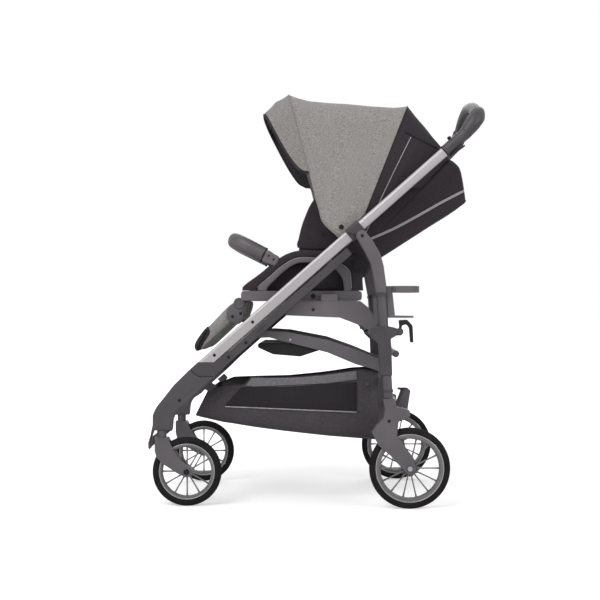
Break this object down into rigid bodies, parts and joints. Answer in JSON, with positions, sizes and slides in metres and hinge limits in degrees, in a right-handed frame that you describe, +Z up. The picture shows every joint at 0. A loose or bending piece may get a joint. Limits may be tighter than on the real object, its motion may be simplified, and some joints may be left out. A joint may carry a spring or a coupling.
{
  "type": "stroller",
  "caption": "Folding pushchair with reversible seat unit, canopy, bumper bar, legrest, swivel front wheels, linked folding frame, basket and cup holder",
  "frame": {"origin": "Bottom centre of the whole stroller's box, on the ground the wheels stand on", "axes": "+Z up; -X is the way the stroller rolls forward and the handle is at +X; +Y is the right-hand side, seen from behind the handle facing forward"},
  "size_m": [0.8779, 0.5576, 1.1071],
  "materials": {
    "silver_tube": "satin anodised",
    "grey_plastic": "fine satin grain",
    "dark_plastic": "fine grain",
    "grey_metal": "satin paint",
    "dark_metal": "satin paint",
    "axle_steel": "zinc plated",
    "rim_plastic": "smooth",
    "tyre": "foam tyre, matt",
    "leatherette": "fine leather grain, stitched",
    "melange_fabric": "flecked woven polyester",
    "dark_fabric": "plain woven polyester"
  },
  "bodies": {
    "rear_frame": {"rear_arch_left": "grey_plastic", "rear_arch_right": "grey_plastic", "rear_leg_left": "grey_metal", "rear_leg_right": "grey_metal", "leg_clamp_left": "dark_plastic", "leg_clamp_right": "dark_plastic", "rear_fork_left": "grey_plastic", "rear_fork_right": "grey_plastic", "rear_axle_left": "axle_steel", "rear_axle_right": "axle_steel", "rear_cross_tube": "dark_metal", "cup_holder": "dark_plastic", "basket": "dark_fabric"},
    "handle": {"handle_tube_left": "silver_tube", "handle_tube_right": "silver_tube", "collar_left": "dark_plastic", "collar_right": "dark_plastic", "handle_bar": "grey_plastic", "handle_grip": "leatherette"},
    "front_frame": {"lower_rail_left": "silver_tube", "lower_rail_right": "silver_tube", "sub_rail_left": "grey_plastic", "sub_rail_right": "grey_plastic", "front_housing_left": "dark_plastic", "front_housing_right": "dark_plastic", "front_strut": "dark_metal"},
    "links": {"lower_link_left": "dark_plastic", "lower_link_right": "dark_plastic", "x_brace": "dark_plastic"},
    "seat_bars": {"seat_bar_left": "grey_plastic", "seat_bar_right": "grey_plastic"},
    "seat": {"seat_base": "melange_fabric", "seat_cushion": "melange_fabric", "armrest_hoop_left": "dark_fabric", "armrest_hoop_right": "dark_fabric"},
    "back": {"backrest_shell": "dark_fabric", "backrest_pad": "melange_fabric", "canopy_rear": "dark_fabric", "canopy_shell": "melange_fabric"},
    "canopy_front": {"canopy_bow": "dark_plastic", "canopy_visor": "melange_fabric"},
    "legrest_pad": {"legrest": "melange_fabric"},
    "bumper": {"bumper_bar": "leatherette"},
    "brake": {"brake_bar": "dark_metal", "brake_pedal": "dark_plastic"},
    "release": {"fold_lever": "dark_plastic"},
    "grip_lever_left": {"handle_lever_left": "dark_plastic"},
    "fork_left": {"front_fork_left": "grey_plastic", "front_axle_left": "axle_steel"},
    "front_wheel_left": {"front_rim_left": "rim_plastic", "front_tyre_left": "tyre"},
    "rear_wheel_left": {"rear_rim_left": "rim_plastic", "rear_tyre_left": "tyre"},
    "grip_lever_right": {"handle_lever_right": "dark_plastic"},
    "fork_right": {"front_fork_right": "grey_plastic", "front_axle_right": "axle_steel"},
    "front_wheel_right": {"front_rim_right": "rim_plastic", "front_tyre_right": "tyre"},
    "rear_wheel_right": {"rear_rim_right": "rim_plastic", "rear_tyre_right": "tyre"}
  },
  "joints": [
    {"name": "frame_fold", "type": "hinge", "parent": "rear_frame", "child": "handle", "pos_m": [0.12005, 0, 0.706], "axis": [0, -1, 0], "range_deg": [0, 48.8]},
    {"name": "front_slide", "type": "slide", "parent": "handle", "child": "front_frame", "axis": [0.749, 0, 0.6626], "range_m": [0, 0.1655]},
    {"name": "link_swing", "type": "hinge", "parent": "rear_frame", "child": "links", "pos_m": [0.18305, 0, 0.363], "axis": [0, 1, 0], "range_deg": [0, 67.13]},
    {"name": "seat_swing", "type": "hinge", "parent": "rear_frame", "child": "seat_bars", "pos_m": [0.15355, 0, 0.454], "axis": [0, 1, 0], "range_deg": [0, 66.92]},
    {"name": "seat_lift", "type": "slide", "parent": "seat_bars", "child": "seat", "axis": [-0.2599, 0, 0.9656], "range_m": [0, 0.2]},
    {"name": "recline", "type": "hinge", "parent": "seat", "child": "back", "pos_m": [0.11055, 0, 0.633], "axis": [0, 1, 0], "range_deg": [-12, 30]},
    {"name": "canopy_fold", "type": "hinge", "parent": "back", "child": "canopy_front", "pos_m": [0.05855, 0, 0.711], "axis": [0, 1, 0], "range_deg": [0, 44], "deforming": ["canopy_shell", "canopy_visor", "canopy_bow"]},
    {"name": "legrest_tilt", "type": "hinge", "parent": "seat", "child": "legrest_pad", "pos_m": [-0.20745, 0, 0.532], "axis": [0, 1, 0], "range_deg": [0, 50]},
    {"name": "bumper_pull", "type": "slide", "parent": "seat", "child": "bumper", "axis": [-0.891, 0, 0.454], "range_m": [0, 0.06]},
    {"name": "brake_press", "type": "hinge", "parent": "rear_frame", "child": "brake", "pos_m": [0.22955, 0, 0.247], "axis": [0, 1, 0], "range_deg": [0, 22]},
    {"name": "lever_pull", "type": "hinge", "parent": "rear_frame", "child": "release", "pos_m": [0.21655, -0.2565, 0.458], "axis": [0, -1, 0], "range_deg": [0, 20]},
    {"name": "grip_squeeze_left", "type": "hinge", "parent": "handle", "child": "grip_lever_left", "pos_m": [0.35653, -0.215, 0.92147], "axis": [0, -1, 0], "range_deg": [0, 4], "stiffness_Nm_per_rad": 0.3},
    {"name": "front_swivel_left", "type": "hinge", "parent": "front_frame", "child": "fork_left", "pos_m": [-0.40475, -0.215, 0.1985], "axis": [0, 0, 1], "range_deg": [-90, 90]},
    {"name": "front_spin_left", "type": "hinge", "parent": "fork_left", "child": "front_wheel_left", "pos_m": [-0.33815, -0.215, 0.0905], "axis": [0, 1, 0], "continuous": true},
    {"name": "rear_spin_left", "type": "hinge", "parent": "rear_frame", "child": "rear_wheel_left", "pos_m": [0.24305, -0.2585, 0.105], "axis": [0, 1, 0], "continuous": true},
    {"name": "grip_squeeze_right", "type": "hinge", "parent": "handle", "child": "grip_lever_right", "pos_m": [0.35653, 0.215, 0.92147], "axis": [0, -1, 0], "range_deg": [0, 4], "stiffness_Nm_per_rad": 0.3},
    {"name": "front_swivel_right", "type": "hinge", "parent": "front_frame", "child": "fork_right", "pos_m": [-0.40475, 0.215, 0.1985], "axis": [0, 0, -1], "range_deg": [-90, 90]},
    {"name": "front_spin_right", "type": "hinge", "parent": "fork_right", "child": "front_wheel_right", "pos_m": [-0.33815, 0.215, 0.0905], "axis": [0, 1, 0], "continuous": true},
    {"name": "rear_spin_right", "type": "hinge", "parent": "rear_frame", "child": "rear_wheel_right", "pos_m": [0.24305, 0.2585, 0.105], "axis": [0, 1, 0], "continuous": true}
  ],
  "couplings": [
    {"joint": "front_slide", "follows": "frame_fold", "m_per_rad": 0.19373},
    {"joint": "link_swing", "follows": "frame_fold", "ratio": 1.3746},
    {"joint": "seat_swing", "follows": "frame_fold", "ratio": 1.3703}
  ]
}
